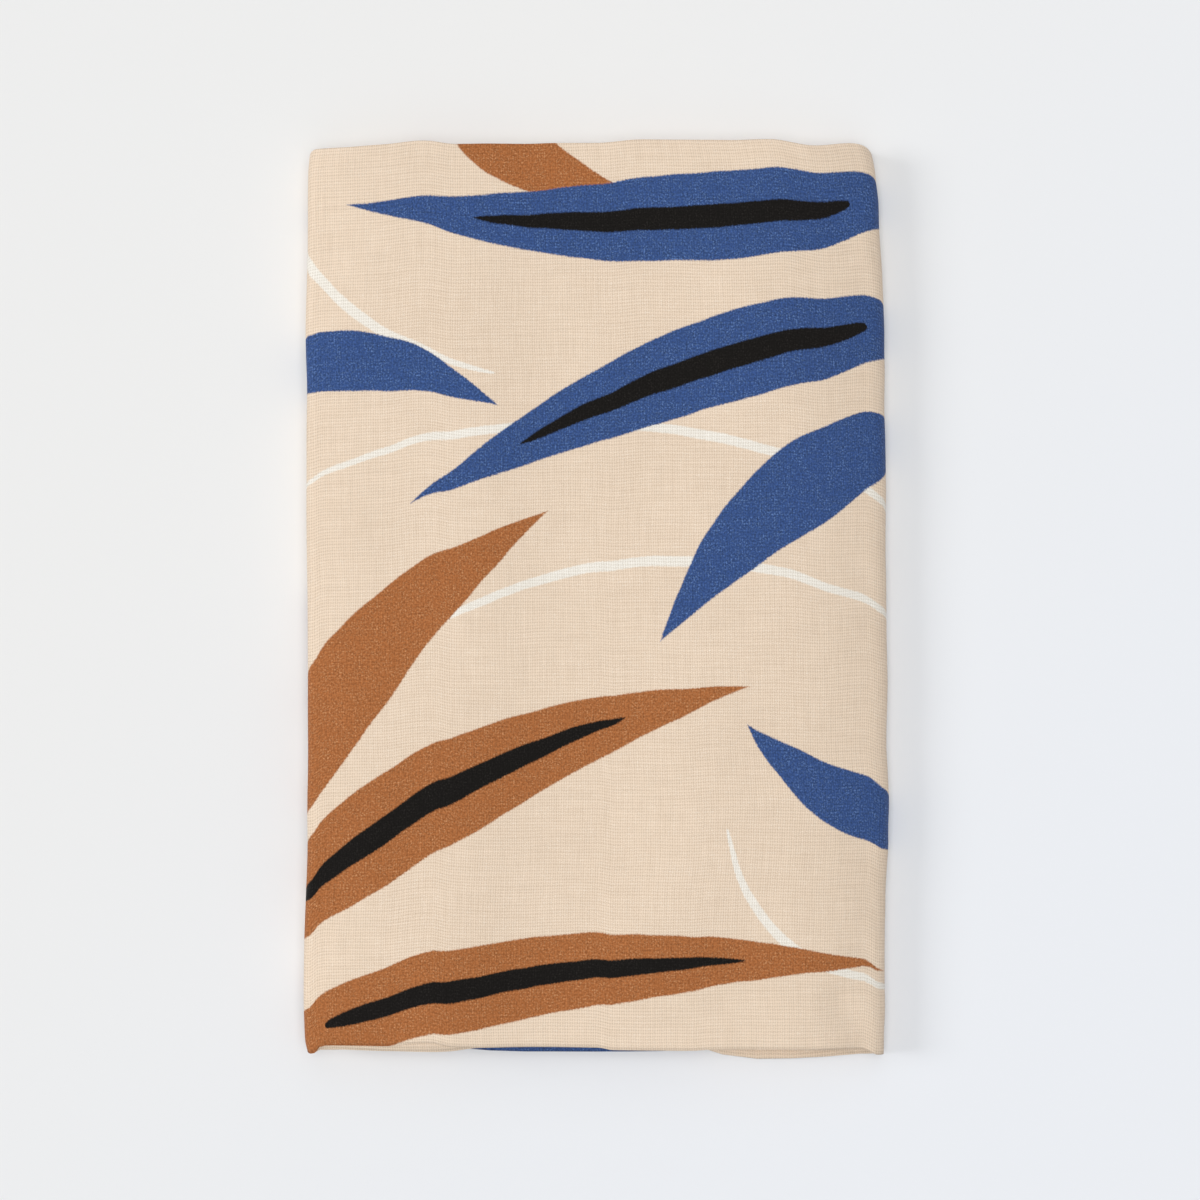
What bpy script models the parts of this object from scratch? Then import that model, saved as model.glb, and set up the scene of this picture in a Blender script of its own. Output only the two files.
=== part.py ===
"""A folded cotton tenugui: one long plain-weave hand towel, doubled across its width and then folded
back and forth into a flat, pillow-like pile. It is one solid, a single sheet in eight layers a little
apart. Each layer stands for the doubled cloth, two plies of soft cotton lying on each other, with the
doubling's fold along +Y and the two selvedges along -Y. +X runs along the towel's length, +Z up; the
pile rests on z = 0."""

import math

import bpy
import numpy as np

MM = 0.001

# The opened towel is about 350 mm wide and 860 mm long. It lies doubled, in eight panels.
SHEET = 1.0 * MM  # the doubled cloth, with the air that its two plies hold
GAP = 0.3 * MM  # between one layer and the next
PITCH = SHEET + GAP
HEAD_ROUND = SHEET / 2  # the doubled edge is round
SELVEDGE_PART = 0.7 * MM  # how far the two selvedges part into a groove
CROWN = 1.2  # mm that the pile's middle stands above the plain stack of its layers

# The level of each panel in the pile, from the bottom, in the order that the cloth runs. The first
# panel runs to +X, the next one back, and so on.
LEVELS = (0, 7, 4, 3, 2, 5, 6, 1)

# The outline, in mm from the middle: how far the left and right sides reach at each place along Y.
SIDES = (
    # y, left, right
    (-88.0, -56.0, 55.6),
    (-85.0, -56.6, 55.7),
    (-77.0, -56.7, 55.9),
    (-67.0, -56.6, 56.0),
    (-58.0, -56.3, 56.1),
    (-48.0, -56.0, 56.6),
    (-38.5, -56.1, 56.8),
    (-28.5, -56.0, 56.4),
    (-19.0, -56.0, 56.6),
    (0.0, -56.1, 56.3),
    (19.0, -56.3, 56.3),
    (38.5, -56.1, 55.9),
    (52.0, -56.5, 55.8),
    (67.0, -56.0, 55.2),
    (77.0, -55.9, 54.8),
    (82.0, -55.9, 54.2),
    (85.5, -55.7, 53.6),
    (88.5, -55.2, 52.6),
)

# The doubled edge at +Y of the top layer, which dips and swells a little.
HEAD = (
    # x, y
    (-57.0, 86.8),
    (-51.0, 87.0),
    (-42.0, 87.3),
    (-33.0, 88.1),
    (-27.0, 87.6),
    (0.0, 87.6),
    (9.0, 88.3),
    (26.0, 88.3),
    (34.0, 88.5),
    (42.0, 87.3),
    (50.0, 88.1),
    (57.0, 87.0),
)

# Where the selvedges lie along -Y: the top and the bottom level in full, the others at six places.
TOP_SELVEDGE = (
    # x, y
    (-57.0, -87.8),
    (-54.6, -87.4),
    (-53.0, -86.5),
    (-41.0, -86.5),
    (-31.5, -86.1),
    (-23.0, -86.2),
    (0.0, -86.2),
    (4.0, -86.7),
    (18.0, -86.7),
    (26.0, -86.4),
    (51.0, -86.7),
    (54.0, -88.1),
    (57.0, -88.5),
)
BASE_SELVEDGE = (
    # x, y
    (-57.0, -87.2),
    (-25.0, -86.6),
    (8.0, -86.5),
    (17.5, -86.7),
    (20.5, -87.4),
    (24.0, -88.5),
    (28.5, -89.3),
    (34.0, -89.4),
    (42.0, -89.1),
    (50.0, -88.7),
    (57.0, -88.5),
)
LIP = (19.0, 50.0, 1.9)  # the bottom level's lip: from x, to x, and how far its edge curls up

# What each level does: how far its doubled edge lies inside the top layer's, where its selvedges end
# along -Y at six places across, and how far its free left end lies inside the outline.
AT = (-56.0, -26.0, -19.0, 16.0, 22.0, 52.0)
LAYERS = {
    # level: (inset at +Y, selvedges at the six places, inset at the left)
    7: (0.0, None, 0.0),  # None: it has a table of its own above
    6: (0.7, (-87.0, -86.3, -86.95, -86.9, -86.2, -86.5), 0.0),
    5: (0.9, (-86.9, -86.7, -86.8, -86.7, -86.0, -86.4), 0.0),
    4: (0.4, (-87.3, -86.6, -86.4, -86.2, -86.0, -86.4), 0.0),
    3: (0.8, (-86.7, -86.4, -86.6, -86.5, -86.0, -86.5), 0.0),
    2: (0.5, (-86.6, -86.7, -86.4, -86.6, -86.3, -86.6), 0.0),
    1: (0.9, (-87.0, -86.6, -86.7, -86.8, -86.5, -86.6), 7.0),
    0: (0.3, None, 0.4),
}

# A soft fold, from its lower panel round to its upper one, as shares of its reach and half its height.
NOSE = (
    # turn, reach, height
    (0.000, 0.000, -1.000),
    (0.095, 0.300, -0.995),
    (0.175, 0.550, -0.960),
    (0.235, 0.720, -0.880),
    (0.295, 0.850, -0.720),
    (0.365, 0.940, -0.480),
    (0.430, 0.985, -0.250),
    (0.500, 1.000, 0.000),
    (0.570, 0.985, 0.250),
    (0.635, 0.940, 0.480),
    (0.705, 0.850, 0.720),
    (0.765, 0.720, 0.880),
    (0.825, 0.550, 0.960),
    (0.905, 0.300, 0.995),
    (1.000, 0.000, 1.000),
)

# Each fold, by its two levels: how far it reaches, how far inside the outline it starts, and its steps.
FOLDS = {
    (0, 7): (4.0, 4.5, 13),
    (1, 6): (2.7, 4.5, 9),
    (2, 5): (1.75, 7.25, 7),
    (3, 4): (0.65, 14.2, 5),
    (4, 7): (2.35, 2.85, 9),
    (5, 6): (0.65, 2.85, 5),
    (2, 3): (0.65, 1.65, 5),
}

# How far the upper levels sink towards the two sides.
SIDE_SINK = (
    # inside the outline, sunk at the left, sunk at the right
    (0.0, 2.5, 4.8),
    (2.0, 2.15, 4.2),
    (4.5, 1.65, 3.4),
    (7.5, 1.05, 2.45),
    (11.5, 0.62, 1.4),
    (15.5, 0.34, 0.65),
    (18.0, 0.2, 0.3),
    (20.0, 0.1, 0.15),
    (24.0, 0.0, 0.0),
)
SHARE = (0.0, 0.15, 0.3, 0.45, 0.6, 0.72, 0.85, 1.0)  # of the crown, that each level takes

# Long low crests that run down the face: for each, its reach across and its line.
CRESTS = (
    (10.0, (
        # y, x, rise
        (-87.0, -26.0, 1.0),
        (-75.0, -26.0, 1.1),
        (-48.0, -24.4, 0.8),
        (-15.0, -24.5, 0.7),
        (20.0, -23.0, 0.7),
        (60.0, -26.0, 0.7),
        (88.0, -25.0, 0.3),
    )),
    (12.0, (
        (-87.0, 10.0, 0.6),
        (-75.0, 10.0, 1.0),
        (-48.0, 18.0, 1.0),
        (-30.0, 20.0, 0.8),
        (0.0, 18.0, 0.6),
        (30.0, 26.0, 0.5),
        (55.0, 30.0, 0.7),
        (70.0, 23.0, 0.7),
        (88.0, 13.0, 0.4),
    )),
)

# Lifts of the top level's selvedge: middle, reach along X and Y, and rise.
SWELLS = (
    # x, y, reach in x, reach in y, rise
    (-32.0, -86.0, 6.0, 5.0, 0.5),
    (26.0, -86.0, 14.0, 5.0, 0.3),
)

TOP_COLUMNS = (-50.0, -44.0, -38.0, -32.0, -25.0, -14.0, -4.0, 6.0, 18.0, 30.0, 38.0, 45.0)
BASE_COLUMNS = (-25.0, 18.0, 22.0, 28.0, 38.0, 45.0)
INNER_COLUMNS = (-50.0, -44.0, -25.0, -4.0, 18.0, 30.0)
REACHING_COLUMNS = (-50.0, -44.0, -25.0, -4.0, 18.0, 30.0, 40.0)  # of the levels that run on to the right
COLUMNS = {
    7: TOP_COLUMNS,
    6: REACHING_COLUMNS,
    5: REACHING_COLUMNS,
    4: INNER_COLUMNS,
    3: INNER_COLUMNS,
    2: REACHING_COLUMNS,
    1: REACHING_COLUMNS[1:],  # it ends before the first
    0: BASE_COLUMNS,
}


def table(rows, column, places):
    """One column of a table, straight between its rows."""
    return np.interp(places, [row[0] for row in rows], [row[column] for row in rows])


def ease(t):
    t = min(max(t, 0.0), 1.0)
    return t * t * (3 - 2 * t)


def selvedge_at(level, x):
    """Where this level's selvedges end along -Y."""
    if level in (0, 7):
        return float(table(TOP_SELVEDGE if level else BASE_SELVEDGE, 1, x / MM)) * MM
    return float(np.interp(x / MM, AT, LAYERS[level][1])) * MM


def head_at(level, x):
    """Where this level's doubled edge ends along +Y."""
    return (float(table(HEAD, 1, x / MM)) - LAYERS[level][0]) * MM


def crown(x, y, left, right):
    """How far the top level stands above its plain height, or below it where this is negative."""
    x, y, left, right = x / MM, y / MM, left / MM, right / MM
    high = CROWN - float(table(SIDE_SINK, 1, x - left)) - float(table(SIDE_SINK, 2, right - x))
    inner = ease((min(x - left, right - x) - 3.0) / 10.0)
    for wide, line in CRESTS:
        across = (x - float(table(line, 1, y))) / wide
        high += inner * float(table(line, 2, y)) * math.exp(-across * across)
    ends = (0.55 + 0.45 * ease((87.5 - y) / 12.0)) * (0.8 + 0.2 * ease((y + 87.5) / 9.0))
    return (high * ends if high > 0 else high) * MM


def settle(level, x, y, left, right):
    """How far this level stands above its plain height."""
    high = crown(x, y, left, right)
    sinks = level > 4 if x > 0 else level > 1
    return SHARE[level] * high if high > 0 else high * sinks


def rise(level, x, y):
    """The top level's own lifts, and the curl of the bottom level's lip."""
    x, y = x / MM, y / MM
    if level == 7:
        lift = sum(
            high * math.exp(-(((x - cx) / wide) ** 2) - ((y - cy) / deep) ** 2)
            for cx, cy, wide, deep, high in SWELLS
        )
        return lift * MM * ease((53.0 - abs(x)) / 9.0)
    if level == 0:
        start, stop, high = LIP
        across = ease((x - start) / 7.0) * ease((stop - x) / 5.0)
        return high * MM * across * min(max((-86.3 - y) / 3.0, 0.0), 1.0) ** 1.5
    return 0.0


def fold_start(level, after, side, left, right):
    """Where a fold starts, along X."""
    inside = FOLDS[min(level, after), max(level, after)][1] * MM
    return right - inside if side > 0 else left + inside


def path():
    """The cloth's middle line as a list of steps: ("end", level) at its free ends,
    ("panel", level, column) across a panel and ("fold", from level, to level, side, turn) round a fold."""
    steps = [("end", LEVELS[0])]
    for number, level in enumerate(LEVELS):
        way = 1 if number % 2 == 0 else -1
        steps += [("panel", level, column * MM) for column in COLUMNS[level][::way]]
        if number + 1 < len(LEVELS):
            after = LEVELS[number + 1]
            count = FOLDS[min(level, after), max(level, after)][2]
            steps += [("fold", level, after, way, i / (count - 1)) for i in range(count)]
    return steps + [("end", LEVELS[-1])]


def place(step, left, right, y):
    """(x, z) of the middle line at this y, for the outline's reach there."""
    if step[0] == "fold":
        _, level, after, side, turn = step
        low, high = min(level, after), max(level, after)
        up = turn if after > level else 1 - turn
        if high - low == 1:
            reach, tall = math.sin(math.pi * up), -math.cos(math.pi * up)
        else:
            reach, tall = float(table(NOSE, 1, up)), float(table(NOSE, 2, up))
        x = fold_start(level, after, side, left, right) + side * FOLDS[low, high][0] * MM * reach
        share = (1 + tall) / 2
        sunk = settle(low, x, y, left, right) * (1 - share) + settle(high, x, y, left, right) * share
        return x, SHEET / 2 + low * PITCH + (high - low) * PITCH * share + sunk
    level = step[1]
    x = left + LAYERS[level][2] * MM if step[0] == "end" else step[2]
    return x, SHEET / 2 + level * PITCH + settle(level, x, y, left, right) + rise(level, x, y)


def reach(step):
    """(-Y end, +Y end) of the cloth at this step, from its levels."""
    sides = [(float(table(SIDES, 1, y)) * MM, float(table(SIDES, 2, y)) * MM) for y in (-86.0, 86.0)]
    low_x = place(step, *sides[0], -86.0 * MM)[0]
    high_x = place(step, *sides[1], 86.0 * MM)[0]
    if step[0] != "fold":
        return selvedge_at(step[1], low_x), head_at(step[1], high_x)
    _, level, after, _, turn = step
    share = ease((turn - 0.2) / 0.6)
    low = selvedge_at(level, low_x) * (1 - share) + selvedge_at(after, low_x) * share
    high = head_at(level, high_x) * (1 - share) + head_at(after, high_x) * share
    return low, high


def stations(low, high):
    """(y, half the sheet's thickness there), from the selvedges to the round doubled edge."""
    inner = [row[0] * MM for row in SIDES[1:-2]]
    lowest, highest = -85.0 * MM, 82.0 * MM
    found = [(low, SHEET / 2)]
    for y in inner:
        share = (y - lowest) / (highest - lowest)
        start, stop = low + 2.0 * MM, high - 4.0 * MM
        found.append((start + share * (stop - start), SHEET / 2))
    for angle in (0.0, 35.0, 65.0, 82.0):
        turn = math.radians(angle)
        found.append((high - HEAD_ROUND * (1 - math.sin(turn)), HEAD_ROUND * math.cos(turn)))
    return found


def build_cloth():
    steps = path()
    middle, thick = [], []
    for step in steps:
        low, high = reach(step)
        row = []
        for y, half in stations(low, high):
            left = float(table(SIDES, 1, y / MM)) * MM
            right = float(table(SIDES, 2, y / MM)) * MM
            x, z = place(step, left, right, y)
            row.append((x, y, z))
        middle.append(row)
        thick.append([half for _, half in stations(low, high)])
    middle, thick = np.array(middle), np.array(thick)
    # The sheet's faces lie to both sides of the middle line, square to it.
    run = np.empty_like(middle)
    run[1:-1] = middle[2:] - middle[:-2]
    run[0], run[-1] = middle[1] - middle[0], middle[-1] - middle[-2]
    run[:, :, 1] = 0
    run /= np.linalg.norm(run, axis=2, keepdims=True)
    square = np.stack([-run[:, :, 2], np.zeros_like(thick), run[:, :, 0]], axis=2)
    square *= thick[:, :, None]
    grid = np.stack([middle + square, middle - square], axis=1)  # step, face, station, xyz
    count, _, along, _ = grid.shape
    # Between the selvedges a groove, so that the two plies show. It runs in along the middle line.
    inward = middle[:, 1] - middle[:, 0]
    groove = middle[:, 0] + inward * SELVEDGE_PART / inward[:, 1:2]
    points = np.concatenate([grid.reshape(-1, 3), groove])
    first = count * 2 * along

    def at(step, face, station):
        return (step * 2 + face) * along + station

    faces = []
    for i in range(count - 1):
        for j in range(along - 1):
            faces.append((at(i, 0, j), at(i + 1, 0, j), at(i + 1, 0, j + 1), at(i, 0, j + 1)))
            faces.append((at(i, 1, j), at(i, 1, j + 1), at(i + 1, 1, j + 1), at(i + 1, 1, j)))
        last = along - 1
        faces.append((at(i, 0, last), at(i + 1, 0, last), at(i + 1, 1, last), at(i, 1, last)))
        faces.append((at(i, 0, 0), first + i, first + i + 1, at(i + 1, 0, 0)))
        faces.append((first + i, at(i, 1, 0), at(i + 1, 1, 0), first + i + 1))
    for i, turned in ((0, True), (count - 1, False)):
        side = [
            (at(i, 0, j), at(i, 1, j), at(i, 1, j + 1), at(i, 0, j + 1)) for j in range(along - 1)
        ]
        side.append((at(i, 0, 0), first + i, at(i, 1, 0)))
        faces += [face[::-1] for face in side] if turned else side
    return points, faces


def main():
    for obj in list(bpy.data.objects):
        bpy.data.objects.remove(obj, do_unlink=True)
    points, faces = build_cloth()
    # The middle of the pile's box stands over the origin.
    middle = (points.min(axis=0) + points.max(axis=0)) / 2
    points[:, :2] -= middle[:2]

    mesh = bpy.data.meshes.new("tenugui_cloth")
    mesh.from_pydata(points.tolist(), [], faces)
    mesh.validate()
    cloth = bpy.data.objects.new("tenugui_cloth", mesh)
    towel = bpy.data.collections.new("tenugui_towel")
    bpy.context.scene.collection.children.link(towel)
    towel.objects.link(cloth)

    cotton = bpy.data.materials.new("tenugui_cotton")
    cotton.use_nodes = True
    shader = cotton.node_tree.nodes["Principled BSDF"]
    shader.inputs["Base Color"].default_value = (0.80, 0.66, 0.50, 1.0)
    shader.inputs["Roughness"].default_value = 0.9
    mesh.materials.append(cotton)


main()
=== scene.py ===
"""A folded cotton tenugui lying on a pale surface, seen from straight above in soft light from the left."""

import math

import bpy
import numpy as np
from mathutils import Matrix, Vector


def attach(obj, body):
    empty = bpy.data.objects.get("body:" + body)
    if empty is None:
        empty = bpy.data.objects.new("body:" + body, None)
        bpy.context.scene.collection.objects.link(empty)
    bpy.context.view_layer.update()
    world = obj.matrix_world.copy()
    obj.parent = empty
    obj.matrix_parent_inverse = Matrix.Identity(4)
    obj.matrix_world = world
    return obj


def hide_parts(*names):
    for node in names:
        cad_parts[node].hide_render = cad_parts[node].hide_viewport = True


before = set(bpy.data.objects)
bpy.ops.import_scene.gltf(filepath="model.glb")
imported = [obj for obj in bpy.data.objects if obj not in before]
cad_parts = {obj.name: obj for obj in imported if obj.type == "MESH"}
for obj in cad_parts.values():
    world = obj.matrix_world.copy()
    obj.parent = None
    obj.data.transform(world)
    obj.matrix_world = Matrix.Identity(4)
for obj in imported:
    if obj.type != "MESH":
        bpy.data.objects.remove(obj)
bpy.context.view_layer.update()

# -----------------------------------------------------------------------------------------------
# Sizes, in millimetres. The pile's layout repeats the solid's: eight levels of doubled cloth.

MM = 0.001
SHEET, GAP = 1.0, 0.3
PITCH = SHEET + GAP
PLY = 0.36  # one ply of soft plain-weave cotton
PLY_OFFSET = 0.29  # of each ply from the middle of its doubled sheet
LEVELS = (0, 7, 4, 3, 2, 5, 6, 1)  # of each panel, in the order that the cloth runs
LAST_PANEL = len(LEVELS) - 1

# How far the left and right sides reach, along Y.
SIDES = (
    # y, left, right
    (-88.0, -56.0, 55.6),
    (-85.0, -56.6, 55.7),
    (-77.0, -56.7, 55.9),
    (-67.0, -56.6, 56.0),
    (-58.0, -56.3, 56.1),
    (-48.0, -56.0, 56.6),
    (-38.5, -56.1, 56.8),
    (-28.5, -56.0, 56.4),
    (-19.0, -56.0, 56.6),
    (0.0, -56.1, 56.3),
    (19.0, -56.3, 56.3),
    (38.5, -56.1, 55.9),
    (52.0, -56.5, 55.8),
    (67.0, -56.0, 55.2),
    (77.0, -55.9, 54.8),
    (82.0, -55.9, 54.2),
    (85.5, -55.7, 53.6),
    (88.5, -55.2, 52.6),
)

# The doubled edge at +Y.
HEAD = (
    # x, y
    (-57.0, 86.8),
    (-51.0, 87.0),
    (-42.0, 87.3),
    (-33.0, 88.1),
    (-27.0, 87.6),
    (0.0, 87.6),
    (9.0, 88.3),
    (26.0, 88.3),
    (34.0, 88.5),
    (42.0, 87.3),
    (50.0, 88.1),
    (57.0, 87.0),
)

# A soft fold, from its lower panel round to its upper one, as shares of its reach and half its height.
NOSE = (
    # turn, reach, height
    (0.000, 0.000, -1.000),
    (0.095, 0.300, -0.995),
    (0.175, 0.550, -0.960),
    (0.235, 0.720, -0.880),
    (0.295, 0.850, -0.720),
    (0.365, 0.940, -0.480),
    (0.430, 0.985, -0.250),
    (0.500, 1.000, 0.000),
    (0.570, 0.985, 0.250),
    (0.635, 0.940, 0.480),
    (0.705, 0.850, 0.720),
    (0.765, 0.720, 0.880),
    (0.825, 0.550, 0.960),
    (0.905, 0.300, 0.995),
    (1.000, 0.000, 1.000),
)

# Each fold, by its two levels: how far it reaches, and how far inside the outline it starts.
FOLDS = {
    (0, 7): (4.0, 4.5),
    (1, 6): (2.7, 4.5),
    (2, 5): (1.75, 7.25),
    (3, 4): (0.65, 14.2),
    (4, 7): (2.35, 2.85),
    (5, 6): (0.65, 2.85),
    (2, 3): (0.65, 1.65),
}

# The pile is a soft pillow: its upper levels stand CROWN higher in the middle and sink towards both sides.
CROWN = 1.2
SIDE_SINK = (
    # inside the outline, sunk at the left, sunk at the right
    (0.0, 2.5, 4.8),
    (2.0, 2.15, 4.2),
    (4.5, 1.65, 3.4),
    (7.5, 1.05, 2.45),
    (11.5, 0.62, 1.4),
    (15.5, 0.34, 0.65),
    (18.0, 0.2, 0.3),
    (20.0, 0.1, 0.15),
    (24.0, 0.0, 0.0),
)
SHARE = (0.0, 0.15, 0.3, 0.45, 0.6, 0.72, 0.85, 1.0)  # of the crown, that each level takes

# Long low crests that run down the face: for each, its reach across and its line.
CRESTS = (
    (10.0, (
        # y, x, rise
        (-87.0, -26.0, 1.0),
        (-75.0, -26.0, 1.1),
        (-48.0, -24.4, 0.8),
        (-15.0, -24.5, 0.7),
        (20.0, -23.0, 0.7),
        (60.0, -26.0, 0.7),
        (88.0, -25.0, 0.3),
    )),
    (12.0, (
        (-87.0, 10.0, 0.6),
        (-75.0, 10.0, 1.0),
        (-48.0, 18.0, 1.0),
        (-30.0, 20.0, 0.8),
        (0.0, 18.0, 0.6),
        (30.0, 26.0, 0.5),
        (55.0, 30.0, 0.7),
        (70.0, 23.0, 0.7),
        (88.0, 13.0, 0.4),
    )),
    (4.5, (
        (-64.0, -44.0, 0.0),
        (-48.0, -43.6, 0.35),
        (-30.0, -42.0, 0.0),
    )),
)

# Creases, each a soft trough (or ridge, where its depth is below 0) along a line.
CREASES = (
    # from x, from y, to x, to y, depth, reach
    (36.0, 86.0, 51.0, 65.0, 0.45, 3.6),
    (50.0, 64.0, 53.0, 56.0, 0.25, 2.4),
    (43.0, -39.0, 55.0, -47.0, 0.30, 1.8),
    (46.0, -44.5, 55.0, -52.0, 0.20, 1.5),
    (44.0, -74.0, 53.0, -88.0, 0.60, 3.4),
    (49.0, -66.0, 55.5, -72.0, 0.30, 1.6),
    (50.0, -58.0, 55.5, -61.0, 0.22, 1.5),
    (47.0, 8.0, 55.5, 2.0, 0.22, 2.0),
    (49.0, 36.0, 55.5, 30.0, 0.20, 2.0),
    (-54.0, 70.0, -46.0, 60.0, 0.18, 2.6),
    (-55.0, -20.0, -47.0, -28.0, 0.18, 2.4),
    (-2.0, 86.5, 3.0, 66.0, -0.20, 4.0),
)

# Where the selvedges lie along -Y: the top sheet's two plies and the bottom sheet in full, the others
# at six places.
TOP_SELVEDGE = (
    # x, upper ply, lower ply
    (-57.0, -87.9, -87.8),
    (-55.0, -87.7, -87.6),
    (-54.2, -87.1, -87.2),
    (-53.2, -86.2, -86.9),
    (-51.0, -86.0, -86.8),
    (-46.0, -85.95, -86.9),
    (-41.0, -86.0, -87.0),
    (-36.0, -85.5, -87.0),
    (-31.5, -85.2, -87.0),
    (-28.5, -85.9, -86.9),
    (-23.0, -86.2, -86.3),
    (-12.0, -86.1, -86.2),
    (0.0, -86.15, -86.3),
    (3.0, -86.7, -86.6),
    (12.0, -86.75, -86.6),
    (18.0, -86.8, -86.6),
    (22.0, -86.6, -86.4),
    (30.0, -86.6, -86.2),
    (42.0, -86.8, -86.4),
    (51.0, -86.8, -86.6),
    (52.6, -87.4, -87.3),
    (54.0, -88.2, -88.0),
    (57.0, -88.5, -88.3),
)
BASE_SELVEDGE = (
    # x, both plies
    (-57.0, -87.2),
    (-25.0, -86.6),
    (8.0, -86.5),
    (17.5, -86.7),
    (20.5, -87.4),
    (24.0, -88.5),
    (28.5, -89.25),
    (34.0, -89.35),
    (42.0, -89.05),
    (50.0, -88.7),
    (57.0, -88.5),
)
LIP = (19.0, 50.0, 1.9)  # the bottom sheet's lip: from x, to x, and how far its edge curls up
AT = (-56.0, -26.0, -19.0, 16.0, 22.0, 52.0)
LAYERS = {
    # level: (inset of its doubled edge at +Y, selvedges at the six places)
    7: (0.0, None),
    6: (0.7, (-87.0, -86.3, -86.95, -87.05, -86.2, -87.2)),
    5: (0.9, (-86.9, -86.7, -86.8, -86.7, -86.0, -86.6)),
    4: (0.4, (-87.3, -86.6, -86.4, -86.2, -86.0, -86.4)),
    3: (0.8, (-86.7, -86.4, -86.6, -86.5, -86.0, -86.5)),
    2: (0.5, (-86.6, -86.7, -86.4, -86.6, -86.3, -86.6)),
    1: (0.9, (-87.0, -86.6, -86.7, -86.8, -86.5, -87.6)),
    0: (0.3, None),
}
FREE_ENDS = {0: 0.4, 1: 7.0}  # how far inside the outline the cloth's two cut ends lie, at the left

# Lifts of the top sheet alone: middle, reach along X and Y, and rise.
SWELLS = (
    # x, y, reach in x, reach in y, rise
    (-32.0, -86.0, 6.0, 5.0, 0.75),
    (26.0, -86.0, 14.0, 5.0, 0.35),
    (33.0, 86.0, 8.0, 5.0, 0.35),
    (6.0, 87.0, 6.0, 4.0, 0.2),
)

TOP_COLUMNS, PLAIN_COLUMNS = 84, 16
FOLD_STEPS = {7: 24, 5: 12, 3: 12, 1: 7}
UPPER_ROWS, TURN_ROWS, LOWER_ROWS = 112, 6, 44
MIDDLE_ROW = 50  # of the upper rows, the one that the print is centred on


def smooth(rows, column, at):
    """One column of a table, as a curve through its rows."""
    xs = np.array([row[0] for row in rows], float)
    ys = np.array([row[column] for row in rows], float)
    steps = np.diff(ys) / np.diff(xs)
    before, after = np.append(steps[:1], steps), np.append(steps, steps[-1:])
    both = np.where(before * after > 0, before + after, 1.0)
    # Flat at each peak, so that the curve never overshoots its rows.
    slope = np.where(before * after > 0, 2 * before * after / both, 0.0)
    at = np.clip(at, xs[0], xs[-1])
    i = np.clip(np.searchsorted(xs, at) - 1, 0, len(xs) - 2)
    wide = xs[i + 1] - xs[i]
    t = (at - xs[i]) / wide
    return (
        (2 * t**3 - 3 * t**2 + 1) * ys[i]
        + (t**3 - 2 * t**2 + t) * wide * slope[i]
        + (3 * t**2 - 2 * t**3) * ys[i + 1]
        + (t**3 - t**2) * wide * slope[i + 1]
    )


def drift(x, y, reach, seed):
    """Smooth unevenness between -1 and 1, with features about `reach` across."""
    side = 64
    values = np.random.default_rng(seed).uniform(-1, 1, (side, side))
    gx, gy = np.broadcast_arrays(np.asarray(x, float) / reach, np.asarray(y, float) / reach)
    ix, iy = np.floor(gx).astype(int), np.floor(gy).astype(int)
    fx, fy = gx - ix, gy - iy
    fx, fy = fx * fx * (3 - 2 * fx), fy * fy * (3 - 2 * fy)
    a, b = values[ix % side, iy % side], values[(ix + 1) % side, iy % side]
    c, d = values[ix % side, (iy + 1) % side], values[(ix + 1) % side, (iy + 1) % side]
    return (a * (1 - fx) + b * fx) * (1 - fy) + (c * (1 - fx) + d * fx) * fy


def ease(t):
    t = np.clip(t, 0, 1)
    return t * t * (3 - 2 * t)


def selvedge(level, ply, x):
    """Where this level's selvedge ends along -Y: ply 1 is the upper one of the top sheet."""
    if level == 7:
        return smooth(TOP_SELVEDGE, 1 if ply > 0 else 2, x)
    if level == 0:
        return smooth(BASE_SELVEDGE, 1, x) + 0.15 * ply
    rows = list(zip(AT, LAYERS[level][1]))
    apart = 0.18 * ply + 0.22 * drift(x, 17.0 * level, 13.0, 40 + level)
    return smooth(rows, 1, x) + apart


def head(level, x):
    uneven = 0.12 * drift(x, 9.0 * level, 7.0, 60 + level)
    return smooth(HEAD, 1, x) - LAYERS[level][0] + uneven


def crown(x, y, left, right):
    """How far the top level stands above its plain height, or below it where this is negative."""
    high = CROWN - smooth(SIDE_SINK, 1, x - left) - smooth(SIDE_SINK, 2, right - x)
    inner = ease((np.minimum(x - left, right - x) - 3.0) / 10.0)
    for reach, line in CRESTS:
        across = (x - smooth(line, 1, y)) / reach
        high = high + inner * smooth(line, 2, y) * np.exp(-across * across)
    for x0, y0, x1, y1, depth, reach in CREASES:
        long = math.hypot(x1 - x0, y1 - y0)
        along = ((x - x0) * (x1 - x0) + (y - y0) * (y1 - y0)) / long
        across = ((y - y0) * (x1 - x0) - (x - x0) * (y1 - y0)) / long
        share = ease(along / (0.3 * long)) * ease((long - along) / (0.3 * long))
        high = high - depth * share * np.exp(-((across / reach) ** 2))
    ends = (0.55 + 0.45 * ease((87.5 - y) / 12.0)) * (0.8 + 0.2 * ease((y + 87.5) / 9.0))
    return np.where(high > 0, high * ends, high)


def settle(level, x, y, left, right):
    """How far this level stands above its plain height."""
    high = crown(x, y, left, right)
    sinks = np.where(x > 0, 1.0 if level > 4 else 0.0, 1.0 if level > 1 else 0.0)
    return SHARE[level] * np.maximum(high, 0) + sinks * np.minimum(high, 0)


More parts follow.
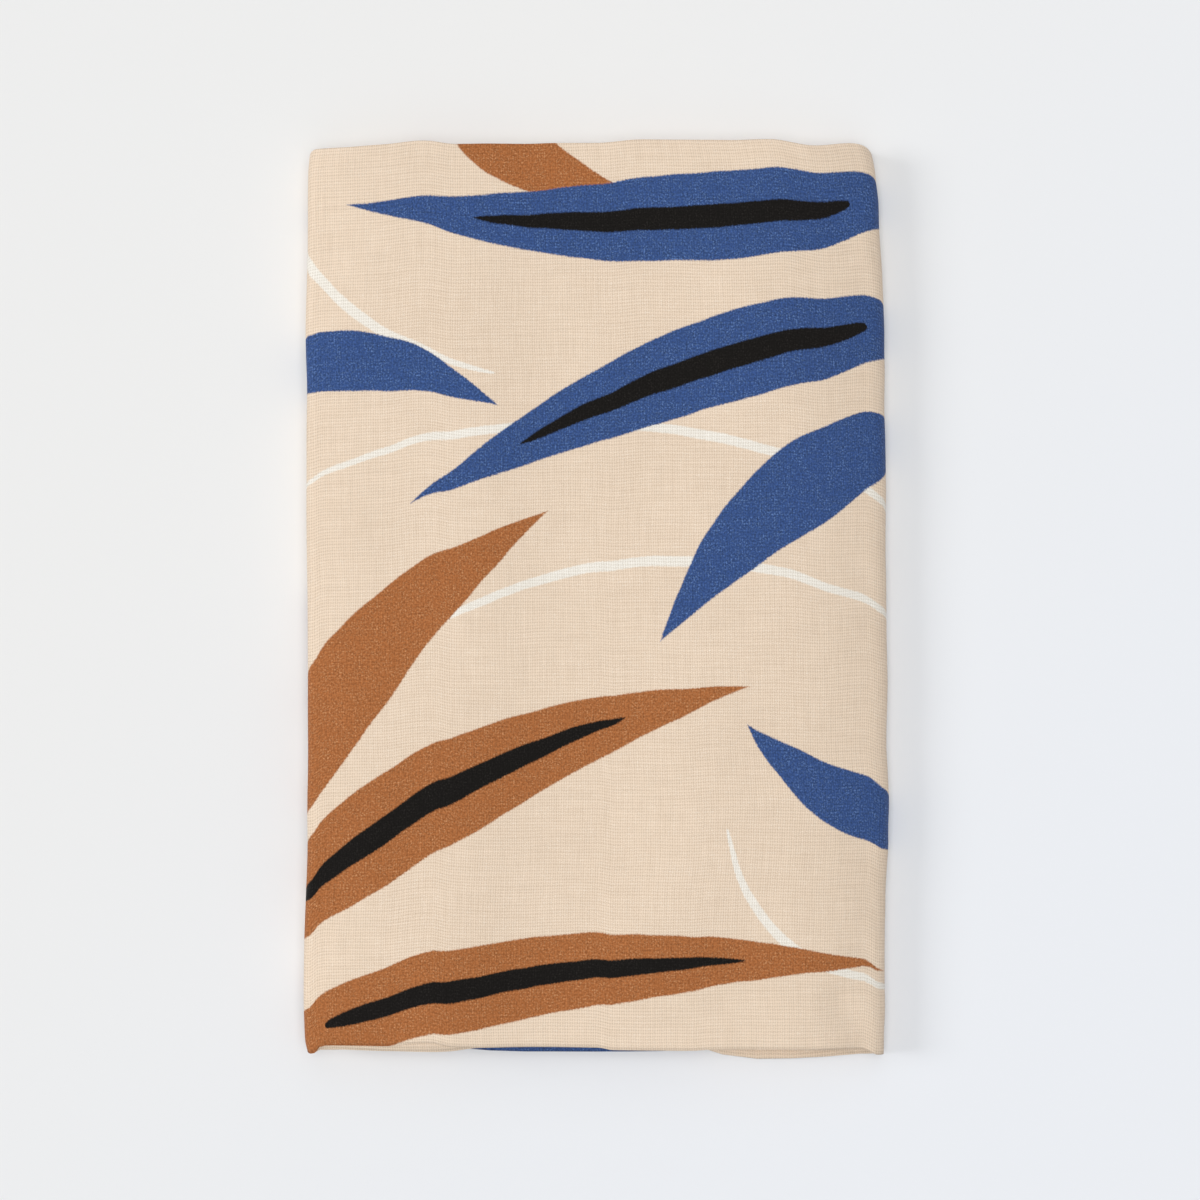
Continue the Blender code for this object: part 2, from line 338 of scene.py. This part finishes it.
def rise(x, y):
    """How far the top sheet alone stands up from the pile."""
    total = np.zeros(np.broadcast(x, y).shape)
    for cx, cy, wide, deep, high in SWELLS:
        total += high * np.exp(-(((x - cx) / wide) ** 2) - ((y - cy) / deep) ** 2)
    total += 0.04 * drift(x, y, 7.0, 3) + 0.07 * drift(x, y, 19.0, 4)
    return total * ease((53.0 - np.abs(x)) / 9.0)


def lip(x, y):
    """How far the bottom sheet's lip curls up off the surface."""
    start, stop, high = LIP
    across = ease((x - start) / 7.0) * ease((stop - x) / 5.0)
    return high * across * np.clip((-86.3 - y) / 3.0, 0, 1) ** 1.5


def round_fold(turn, climbs, levels):
    """(reach, height) of a fold as shares, for a turn from 0 to 1 along the cloth."""
    up = turn if climbs > 0 else 1 - turn
    if levels == 1:
        return math.sin(math.pi * up), -math.cos(math.pi * up)
    return float(smooth(NOSE, 1, up)), float(smooth(NOSE, 2, up))


def fold_path():
    """The cloth's middle line: one row per column of the mesh, (panel number, part, fraction or angle)."""
    rows = []
    for number, level in enumerate(LEVELS):
        count = TOP_COLUMNS if level == 7 else PLAIN_COLUMNS
        rows += [(number, "panel", i / count) for i in range(0 if number == 0 else 1, count)]
        if number == LAST_PANEL:
            rows.append((number, "panel", 1.0))
            break
        count = FOLD_STEPS[abs(LEVELS[number + 1] - level)]
        rows += [(number, "fold", i / count) for i in range(count + 1)]
    return rows


def fold_start(level, after, side, left, right):
    """Where a fold starts, along X."""
    inside = FOLDS[min(level, after), max(level, after)][1]
    return right - inside if side > 0 else left + inside


def height(level):
    return SHEET / 2 + level * PITCH


def lay(row, y):
    """(x, z) of the middle line for one path row at these y."""
    number, part, value = row
    level = LEVELS[number]
    way = 1 if number % 2 == 0 else -1
    left = smooth(SIDES, 1, y) + 0.10 * drift(0, y, 11.0, 21)
    right = smooth(SIDES, 2, y) + 0.16 * drift(0, y, 9.0, 22) + 0.08 * drift(0, y, 4.0, 23)
    if part == "fold":
        after = LEVELS[number + 1]
        low, high = min(level, after), max(level, after)
        reach, up = round_fold(value, 1 if after > level else -1, high - low)
        x = fold_start(level, after, way, left, right) + way * FOLDS[low, high][0] * reach
        share = (1 + up) / 2
        sunk = settle(low, x, y, left, right) * (1 - share) + settle(high, x, y, left, right) * share
        return x, height(low) + (high - low) * PITCH * share + sunk
    if number == 0:
        start = left + FREE_ENDS[level]
    else:
        start = fold_start(LEVELS[number - 1], level, -way, left, right)
    if number == LAST_PANEL:
        stop = left + FREE_ENDS[level]
    else:
        stop = fold_start(level, LEVELS[number + 1], way, left, right)
    x = start + (stop - start) * value
    z = height(level) + settle(level, x, y, left, right)
    if level == 7:
        z = z + rise(x, y)
    elif level == 0:
        z = z + lip(x, y)
    else:
        z = z + 0.05 * drift(x, y, 15.0, 80 + level)
    return x, z


def ends(row, ply):
    """(selvedge, doubled edge) along Y for one path row."""
    number, part, value = row
    level = LEVELS[number]
    low_x, high_x = (float(lay(row, np.array([y]))[0][0]) for y in (-86.0, 86.0))
    if part == "panel":
        return selvedge(level, ply, low_x), head(level, high_x)
    after = LEVELS[number + 1]
    share = ease((value - 0.2) / 0.6)
    low = selvedge(level, ply, low_x) * (1 - share) + selvedge(after, ply, low_x) * share
    high = head(level, high_x) * (1 - share) + head(after, high_x) * share
    reach = FOLDS[min(level, after), max(level, after)][0]
    return low, high - 0.25 * reach * math.sin(math.pi * value) ** 6


def spread(count, tight):
    """Fractions from 0 to 1, closer together near the ends."""
    t = np.linspace(0, 1, count)
    return t - tight * np.sin(2 * math.pi * t) / (2 * math.pi)


def towel_mesh():
    """The towel's grid, laid along its folds: its points, and where each lies on the flat cloth."""
    path = fold_path()
    middle, flat = [], []
    run, last = 0.0, None
    for row in path:
        here = np.array([float(value[0]) for value in lay(row, np.array([0.0]))])
        run += 0.0 if last is None else float(np.linalg.norm(here - last))
        last = here
        low_near, high = ends(row, 1)
        low_far, _ = ends(row, -1)
        tip = high - PLY / 2 - PLY_OFFSET
        t = spread(UPPER_ROWS, 0.35)
        turn = np.linspace(0, math.pi, TURN_ROWS + 2)[1:-1]
        s = spread(LOWER_ROWS, 0.35)
        y = np.concatenate(
            [low_near + (tip - low_near) * t, tip + PLY_OFFSET * np.sin(turn), tip + (low_far - tip) * s]
        )
        x, z = lay(row, y)
        middle.append(np.stack([x, y, z], axis=1))
        # Across the flat cloth: the upper ply, the turn of the doubled edge and the lower ply.
        across = np.concatenate([-87.0 + 175.0 * t, 88.0 + 0.9 * turn / math.pi, 88.9 + 174.1 * s])
        flat.append(np.stack([np.full(len(y), -run), across], axis=1))
    middle, flat = np.array(middle), np.array(flat)
    along = np.empty_like(middle)
    along[1:-1] = middle[2:] - middle[:-2]
    along[0], along[-1] = middle[1] - middle[0], middle[-1] - middle[-2]
    along[:, :, 1] = 0
    along /= np.linalg.norm(along, axis=2, keepdims=True)
    off = -PLY_OFFSET * np.concatenate([np.ones(UPPER_ROWS), np.cos(turn), -np.ones(LOWER_ROWS)])
    points = middle.copy()
    points[:, :, 0] -= along[:, :, 2] * off
    points[:, :, 2] += along[:, :, 0] * off
    # The print's own middle lies at the middle of the top face.
    top = [i for i, row in enumerate(path) if row[0] == 1 and row[1] == "panel"]
    flat[:, :, 0] -= np.interp(
        0.0, points[top, MIDDLE_ROW, 0][::-1], flat[top, MIDDLE_ROW, 0][::-1]
    )
    return points, flat


def build_towel():
    points, flat = towel_mesh()
    count, rows = points.shape[:2]
    reach = points[:, :, :2].reshape(-1, 2)
    points[:, :, :2] -= (reach.min(axis=0) + reach.max(axis=0)) / 2
    index = np.arange(count * rows).reshape(count, rows)
    faces = np.stack(
        [index[:-1, :-1], index[:-1, 1:], index[1:, 1:], index[1:, :-1]], axis=-1
    ).reshape(-1, 4)
    mesh = bpy.data.meshes.new("tenugui_towel")
    mesh.from_pydata((points.reshape(-1, 3) * MM).tolist(), [], faces.tolist())
    layer = mesh.uv_layers.new(name="print")
    corners = flat.reshape(-1, 2)[faces.reshape(-1)] * MM
    layer.data.foreach_set("uv", corners.astype(np.float32).ravel())
    mesh.polygons.foreach_set("use_smooth", np.ones(len(mesh.polygons), bool))
    mesh.update()
    towel = bpy.data.objects.new("tenugui_towel", mesh)
    bpy.context.scene.collection.objects.link(towel)
    thick = towel.modifiers.new("thickness", "SOLIDIFY")
    thick.thickness = PLY * MM
    thick.offset = 0.0
    return towel


# -----------------------------------------------------------------------------------------------
# The cloth's material.


class Graph:
    """Nodes of one tree, made and linked by short calls. A value is a number or another node's output."""

    def __init__(self, tree):
        self.tree = tree

    def add(self, kind, **settings):
        node = self.tree.nodes.new(kind)
        for name, value in settings.items():
            setattr(node, name, value)
        return node

    def put(self, socket, value):
        if isinstance(value, bpy.types.NodeSocket):
            self.tree.links.new(value, socket)
        elif value is not None:
            socket.default_value = value

    def calc(self, operation, a, b=None, c=None, clamp=False):
        node = self.add("ShaderNodeMath", operation=operation, use_clamp=clamp)
        for socket, value in zip(node.inputs, (a, b, c)):
            self.put(socket, value)
        return node.outputs[0]

    def vector(self, operation, a, b=None, scale=None):
        node = self.add("ShaderNodeVectorMath", operation=operation)
        self.put(node.inputs[0], a)
        self.put(node.inputs[1], b)
        self.put(node.inputs[3], scale)
        return node.outputs[0]

    def joined(self, x, y, z=0.0):
        node = self.add("ShaderNodeCombineXYZ")
        for socket, value in zip(node.inputs, (x, y, z)):
            self.put(socket, value)
        return node.outputs[0]

    def parts(self, vector):
        node = self.add("ShaderNodeSeparateXYZ")
        self.put(node.inputs[0], vector)
        return node.outputs

    def ramp(self, value, low, high, to_low=0.0, to_high=1.0, smoothly=True):
        node = self.add(
            "ShaderNodeMapRange", interpolation_type="SMOOTHSTEP" if smoothly else "LINEAR"
        )
        for name, given in (
            ("Value", value),
            ("From Min", low),
            ("From Max", high),
            ("To Min", to_low),
            ("To Max", to_high),
        ):
            self.put(node.inputs[name], given)
        return node.outputs[0]

    def noise(self, vector, scale, detail=2.0, rough=0.5, kind="2D"):
        node = self.add("ShaderNodeTexNoise", noise_dimensions=kind)
        self.put(node.inputs["Vector"], vector)
        node.inputs["Scale"].default_value = scale
        node.inputs["Detail"].default_value = detail
        node.inputs["Roughness"].default_value = rough
        return node.outputs["Fac"]

    def mix(self, share, a, b, way="MIX"):
        node = self.add("ShaderNodeMix", data_type="RGBA", blend_type=way)
        self.put(node.inputs[0], share)
        for socket, value in zip((node.inputs[6], node.inputs[7]), (a, b)):
            if isinstance(value, tuple) and len(value) == 3:
                value = (*value, 1.0)
            self.put(socket, value)
        return node.outputs[2]


LEAVES = (
    # dye, base x, base y, turn, length, width, bend, rib
    ("blue", 64, 79, 181, 112, 17, 5, 4.6),
    ("blue", 66, 55, 200, 108, 17, -6, 4.6),
    ("blue", 62, 35, 221, 66, 16, -5, 0),
    ("blue", -66, 46, 350, 48, 12, 4, 0),
    ("blue", 66, -44, 152, 42, 12, 4, 0),
    ("brown", -64, -44, 48, 82, 17, 7, 0),
    ("brown", -67, -66, 27, 108, 19, 8, 4.8),
    ("brown", -66, -88, 8, 124, 16, 7, 4.2),
    ("brown", -30, 100, 330, 44, 13, -4, 0),
    ("blue", 100, -84, 4, 44, 12, 2, 0),
    ("brown", 96, -50, 60, 84, 16, 6, 0),
    ("blue", 142, 70, 215, 70, 17, 5, 4.4),
    ("blue", 96, 262.6, 0, 50, 13, 0, 0),
    ("white", 144, 258, 165, 30, 1.4, 2, 0),
    ("brown", 104, 240, 240, 76, 17, 6, 4.4),
    ("blue", -30, 236, 250, 84, 17, 6, 0),
    ("brown", 34, 150, 60, 80, 16, 6, 0),
    ("white", 70, 12, 176, 132, 1.9, -17, 0),
    ("white", 66, -6, 186, 118, 1.9, -19, 0),
    ("white", -64, 84, 318, 60, 1.9, -9, 0),
    ("white", 60, -74, 140, 46, 1.9, 9, 0),
)

REPEAT = 214.5  # mm of cloth between one print of the leaves and the next
PRINT_START = -62.0  # mm along the cloth, where one print of the leaves starts
TAPER = {"white": (0.25, 0.35)}  # how bluntly a thin arc ends, at its base and its tip
LEAF_TAPER = (0.55, 1.05)
RIB_START, RIB_END = 0.12, 0.78  # of the leaf's length
RIB_TAPER = (0.35, 0.60)

WARP, WEFT = 0.452, 0.600  # mm from one thread to the next

DYES = {
    # dye: (colour, colour of the threads that took less of it)
    "cream": ((0.812, 0.653, 0.503), (0.838, 0.714, 0.583)),
    "blue": ((0.035, 0.077, 0.225), (0.135, 0.235, 0.480)),
    "brown": ((0.385, 0.132, 0.040), (0.600, 0.300, 0.140)),
    "white": ((0.870, 0.820, 0.735), (0.880, 0.840, 0.770)),
    "black": ((0.0060, 0.0048, 0.0040), (0.022, 0.019, 0.017)),
}


def leaf_group():
    """A leaf on the cloth: how far inside its outline a point lies, in mm, and inside its dark rib."""
    tree = bpy.data.node_groups.new("leaf", "ShaderNodeTree")
    face = tree.interface
    face.new_socket("Point", in_out="INPUT", socket_type="NodeSocketVector")
    face.new_socket("Base", in_out="INPUT", socket_type="NodeSocketVector")
    for name in ("Turn", "Length", "Half", "Bend", "Rib", "Near", "Far"):
        face.new_socket(name, in_out="INPUT", socket_type="NodeSocketFloat")
    for name in ("Leaf", "Rib"):
        face.new_socket(name, in_out="OUTPUT", socket_type="NodeSocketFloat")
    g = Graph(tree)
    given = g.add("NodeGroupInput").outputs
    offset = g.vector("SUBTRACT", given["Point"], given["Base"])
    turned = g.add("ShaderNodeVectorRotate", rotation_type="Z_AXIS")
    g.put(turned.inputs["Vector"], offset)
    g.put(turned.inputs["Angle"], g.calc("MULTIPLY", given["Turn"], -1.0))
    along, across, _ = g.parts(turned.outputs[0])
    t = g.calc("DIVIDE", along, given["Length"])
    rest = g.calc("SUBTRACT", 1.0, t)
    bow = g.calc("MULTIPLY", g.calc("MULTIPLY", g.calc("MULTIPLY", t, rest), 4.0), given["Bend"])
    off = g.calc("ABSOLUTE", g.calc("SUBTRACT", across, bow))
    near, far = (g.calc("MAXIMUM", value, 0.0) for value in (t, rest))
    width = g.calc(
        "MULTIPLY",
        given["Half"],
        g.calc("MULTIPLY", g.calc("POWER", near, given["Near"]), g.calc("POWER", far, given["Far"])),
    )
    rib_t = g.calc("DIVIDE", g.calc("SUBTRACT", t, RIB_START), RIB_END - RIB_START)
    rib_near = g.calc("POWER", g.calc("MAXIMUM", rib_t, 0.0), RIB_TAPER[0])
    rib_far = g.calc("POWER", g.calc("MAXIMUM", g.calc("SUBTRACT", 1.0, rib_t), 0.0), RIB_TAPER[1])
    rib = g.calc("MULTIPLY", given["Rib"], g.calc("MULTIPLY", rib_near, rib_far))
    # Past either tip the distance from the outline grows with the distance from the tip.
    past = g.calc("MAXIMUM", g.calc("MULTIPLY", t, -1.0), g.calc("SUBTRACT", t, 1.0))
    off = g.calc("ADD", off, g.calc("MULTIPLY", g.calc("MAXIMUM", past, 0.0), given["Length"]))
    rib_past = g.calc("MAXIMUM", g.calc("SUBTRACT", RIB_START, t), g.calc("SUBTRACT", t, RIB_END))
    rib_off = g.calc("ADD", off, g.calc("MULTIPLY", g.calc("MAXIMUM", rib_past, 0.0), given["Length"]))
    out = g.add("NodeGroupOutput")
    g.put(out.inputs["Leaf"], g.calc("SUBTRACT", width, off))
    g.put(out.inputs["Rib"], g.calc("SUBTRACT", rib, rib_off))
    return tree


def peak(p, q):
    """The largest value of t^p (1 - t)^q."""
    return (p / (p + q)) ** p * (q / (p + q)) ** q


def cotton():
    material = bpy.data.materials.new("tenugui_cotton")
    material.use_nodes = True
    tree = material.node_tree
    tree.nodes.clear()
    g = Graph(tree)
    out = g.add("ShaderNodeOutputMaterial")
    shader = g.add("ShaderNodeBsdfPrincipled")
    tree.links.new(shader.outputs[0], out.inputs["Surface"])
    place = g.add("ShaderNodeUVMap", uv_map="print").outputs[0]
    mm = g.vector("SCALE", place, scale=1000.0)
    x, y, _ = g.parts(mm)

    # Threads: warp runs along Y, weft along X, each over and under the other in turn.
    warp_at = g.calc("DIVIDE", x, WARP)
    weft_at = g.calc("DIVIDE", y, WEFT)
    warp_at = g.calc("ADD", warp_at, g.calc("MULTIPLY", g.noise(mm, 0.035, 2.0), 2.4))
    weft_bend = g.noise(g.vector("ADD", mm, (70.0, 0.0, 0.0)), 0.04, 2.0)
    weft_at = g.calc("ADD", weft_at, g.calc("MULTIPLY", weft_bend, 2.0))
    warp_s = g.calc("SINE", g.calc("MULTIPLY", warp_at, math.pi))
    weft_s = g.calc("SINE", g.calc("MULTIPLY", weft_at, math.pi))
    over = g.calc("MULTIPLY", warp_s, weft_s)
    warp_h = g.calc(
        "MULTIPLY", g.calc("ABSOLUTE", warp_s), g.calc("MULTIPLY_ADD", over, 0.5, 0.5)
    )
    weft_h = g.calc(
        "MULTIPLY", g.calc("ABSOLUTE", weft_s), g.calc("MULTIPLY_ADD", over, -0.5, 0.5)
    )
    weave = g.calc("MAXIMUM", warp_h, weft_h)

    # Slubs: each thread is a little thicker or paler than its neighbours, for some of its length.
    warp_slub = g.noise(g.joined(g.calc("MULTIPLY", x, 2.2), g.calc("MULTIPLY", y, 0.11)), 1.0, 2.0)
    weft_slub = g.noise(g.joined(g.calc("MULTIPLY", x, 0.11), g.calc("MULTIPLY", y, 1.66)), 1.0, 2.0)
    slub = g.calc("ADD", g.calc("SUBTRACT", warp_slub, 0.5), g.calc("SUBTRACT", weft_slub, 0.5))
    grain = g.calc("SUBTRACT", g.noise(mm, 2.4, 1.0), 0.5)
    cloud = g.calc("SUBTRACT", g.noise(mm, 0.05, 3.0), 0.5)

    # The dye creeps a thread or so past the pattern's outline, in and out.
    creep = g.vector(
        "SCALE",
        g.joined(grain, g.calc("SUBTRACT", g.noise(g.vector("ADD", mm, (31.0, 7.0, 0.0)), 2.4, 1.0), 0.5)),
        scale=0.34,
    )
    wobble = g.vector(
        "SCALE",
        g.vector(
            "SUBTRACT",
            g.joined(g.noise(mm, 0.12, 1.0), g.noise(g.vector("ADD", mm, (57.0, 13.0, 0.0)), 0.12, 1.0)),
            (0.5, 0.5, 0.0),
        ),
        scale=0.55,
    )
    printed = g.joined(
        g.calc(
            "ADD", g.calc("FLOORED_MODULO", g.calc("SUBTRACT", x, PRINT_START), REPEAT), PRINT_START
        ),
        y,
    )
    drawn = g.vector("ADD", g.vector("ADD", printed, creep), wobble)
    group = leaf_group()
    level = {}
    for dye, bx, by, turn, length, width, bend, rib in LEAVES:
        near, far = TAPER.get(dye, LEAF_TAPER)
        leaf = g.add("ShaderNodeGroup", node_tree=group)
        for name, value in (
            ("Point", drawn),
            ("Base", (bx, by, 0.0)),
            ("Turn", math.radians(turn)),
            ("Length", length),
            ("Half", width / 2 / peak(near, far)),
            ("Bend", bend),
            ("Rib", rib / 2 / peak(*RIB_TAPER)),
            ("Near", near),
            ("Far", far),
        ):
            g.put(leaf.inputs[name], value)
        level.setdefault(dye, []).append(leaf.outputs["Leaf"])
        if rib:
            level.setdefault("black", []).append(leaf.outputs["Rib"])
    full, spare = DYES["cream"]
    dyed_any = 0.0
    for dye in ("white", "brown", "blue", "black"):
        inside = level[dye][0]
        for other in level[dye][1:]:
            inside = g.calc("MAXIMUM", inside, other)
        dyed = g.ramp(inside, -0.21, 0.21)
        full = g.mix(dyed, full, DYES[dye][0])
        spare = g.mix(dyed, spare, DYES[dye][1])
        if dye != "white":
            dyed_any = g.calc("MAXIMUM", dyed_any, dyed)

    # Where the dye took unevenly, specks of a thread's width are paler, more of them in some patches.
    patch = g.ramp(g.noise(mm, 0.45, 3.0), 0.3, 0.7)
    speck = g.ramp(g.noise(g.vector("ADD", mm, (11.0, 43.0, 0.0)), 2.9, 2.0), 0.44, 0.70)
    crown = g.ramp(weave, 0.25, 0.85)
    worn = g.calc("MULTIPLY_ADD", crown, 0.6, 0.4)
    worn = g.calc("MULTIPLY", worn, g.calc("MULTIPLY", speck, g.calc("MULTIPLY_ADD", patch, 0.65, 0.25)))
    colour = g.mix(worn, full, spare)

    # Painted shade darkens the gaps between the threads, more on undyed cloth; dyed cloth shows its
    # blotches.
    gap_shade = g.calc("MULTIPLY", g.ramp(weave, 0.0, 0.7), g.calc("MULTIPLY_ADD", dyed_any, -0.13, 0.26))
    shade = g.calc("ADD", g.calc("MULTIPLY_ADD", dyed_any, 0.08, 0.80), gap_shade)
    shade = g.calc("ADD", shade, g.calc("MULTIPLY", slub, 0.12))
    shade = g.calc("ADD", shade, g.calc("MULTIPLY", grain, g.calc("MULTIPLY_ADD", dyed_any, 0.75, 0.10)))
    shade = g.calc("ADD", shade, g.calc("MULTIPLY", cloud, 0.06))
    patchy = g.calc("MULTIPLY", g.calc("SUBTRACT", patch, 0.5), g.calc("MULTIPLY", dyed_any, -0.06))
    shade = g.calc("ADD", shade, patchy)
    # A thinner shade is a warmer one.
    tint = g.joined(shade, g.calc("POWER", shade, 1.12), g.calc("POWER", shade, 1.28))
    colour = g.mix(1.0, colour, tint, "MULTIPLY")
    tree.links.new(colour, shader.inputs["Base Color"])

    bump = g.add("ShaderNodeBump")
    bump.inputs["Strength"].default_value = 0.5
    bump.inputs["Distance"].default_value = 0.00012
    g.put(bump.inputs["Height"], g.calc("ADD", weave, g.calc("MULTIPLY", slub, 0.6)))
    tree.links.new(bump.outputs[0], shader.inputs["Normal"])
    shader.inputs["Roughness"].default_value = 0.92
    shader.inputs["Sheen Weight"].default_value = 0.05
    shader.inputs["Sheen Roughness"].default_value = 0.6
    shader.inputs["Specular IOR Level"].default_value = 0.15
    return material


# -----------------------------------------------------------------------------------------------
# The surface, the light and the camera.


def plain(name, colour, rough):
    material = bpy.data.materials.new(name)
    material.use_nodes = True
    shader = material.node_tree.nodes["Principled BSDF"]
    shader.inputs["Base Color"].default_value = (*colour, 1.0)
    shader.inputs["Roughness"].default_value = rough
    shader.inputs["Specular IOR Level"].default_value = 0.2
    return material


def surface_paper():
    """White paper, neutral towards the back left and faintly blue towards the front right."""
    material = plain("surface_paper", (0.846, 0.848, 0.848), 0.9)
    g = Graph(material.node_tree)
    shader = material.node_tree.nodes["Principled BSDF"]
    x, y, _ = g.parts(g.add("ShaderNodeTexCoord").outputs["Object"])
    towards = g.calc("SUBTRACT", g.calc("MULTIPLY", x, 0.75), g.calc("MULTIPLY", y, 0.65))
    blue = g.ramp(towards, -0.10, 0.12)
    tint = g.mix(blue, (0.848, 0.850, 0.846, 1.0), (0.828, 0.850, 0.888, 1.0))
    material.node_tree.links.new(tint, shader.inputs["Base Color"])
    return material


def make_floor():
    half = 8.0
    mesh = bpy.data.meshes.new("surface")
    corners = [(-half, -half, 0), (half, -half, 0), (half, half, 0), (-half, half, 0)]
    mesh.from_pydata(corners, [], [(0, 1, 2, 3)])
    floor = bpy.data.objects.new("surface", mesh)
    bpy.context.scene.collection.objects.link(floor)
    floor.location.z = -0.00005
    mesh.materials.append(surface_paper())


def sun(name, azimuth, elevation, share, wide):
    """A far, wide, soft light that gives this share of a level surface's light.

    Azimuth 0 is +X and 90 is +Y."""
    data = bpy.data.lights.new(name, "SUN")
    up = math.sin(math.radians(elevation))
    data.energy, data.angle = share * math.pi / up, math.radians(wide)
    light = bpy.data.objects.new(name, data)
    bpy.context.scene.collection.objects.link(light)
    flat, turn = math.cos(math.radians(elevation)), math.radians(azimuth)
    source = Vector((flat * math.cos(turn), flat * math.sin(turn), up))
    light.location = source
    light.rotation_mode = "QUATERNION"
    light.rotation_quaternion = (-source).to_track_quat("-Z", "Y")


def make_light():
    world = bpy.data.worlds.new("room")
    world.use_nodes = True
    world.node_tree.nodes["Background"].inputs["Color"].default_value = (1.0, 1.0, 1.0, 1.0)
    world.node_tree.nodes["Background"].inputs["Strength"].default_value = 0.27
    bpy.context.scene.world = world
    sun("ceiling", 0, 90, 0.50, 40)
    sun("window", 175, 30, 0.16, 22)
    sun("back_fill", 90, 50, 0.045, 40)
    sun("front_fill", 270, 50, 0.03, 40)


SENSOR, LENS = 36.0, 100.0  # mm
VIEW_WIDTH = 0.2308  # m across the view, at the height of its middle
VIEW_MIDDLE = (0.00058, 0.00038, 0.0105)


def make_camera():
    data = bpy.data.cameras.new("camera")
    data.sensor_width, data.lens = SENSOR, LENS
    camera = bpy.data.objects.new("camera", data)
    bpy.context.scene.collection.objects.link(camera)
    x, y, z = VIEW_MIDDLE
    camera.location = (x, y, z + VIEW_WIDTH * LENS / SENSOR)
    data.clip_start, data.clip_end = 0.01, 10.0
    bpy.context.scene.camera = camera


bpy.context.scene.view_settings.view_transform = "Standard"
make_floor()
make_light()
make_camera()

towel = build_towel()
towel.data.materials.append(cotton())
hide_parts("tenugui_cloth")
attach(towel, "root")
